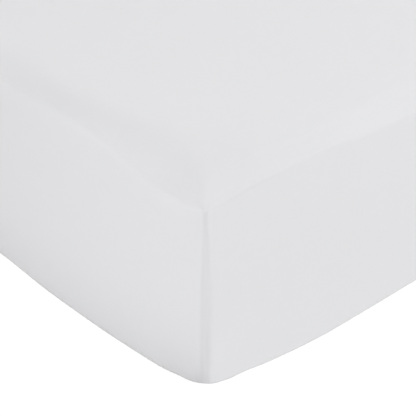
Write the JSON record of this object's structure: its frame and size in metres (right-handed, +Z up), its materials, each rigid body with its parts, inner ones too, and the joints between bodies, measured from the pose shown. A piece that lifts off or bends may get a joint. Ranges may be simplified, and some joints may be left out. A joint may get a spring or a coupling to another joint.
{
  "type": "fitted sheet on mattress",
  "caption": "White fitted sheet stretched over a deep double mattress, with a sewn crease down each corner and an elastic hem tucked under.",
  "frame": {"origin": "middle of the flat underside, level with what the mattress rests on", "axes": "+Y from the foot end to the head end, +X to the right seen from the foot, +Z up"},
  "size_m": [1.35, 1.9, 0.312],
  "materials": {
    "percale": "white woven cotton percale, smooth and matt",
    "ticking": "plain off-white cotton ticking"
  },
  "bodies": {
    "root": {"fitted_sheet": "percale", "mattress": "ticking"}
  },
  "joints": []
}
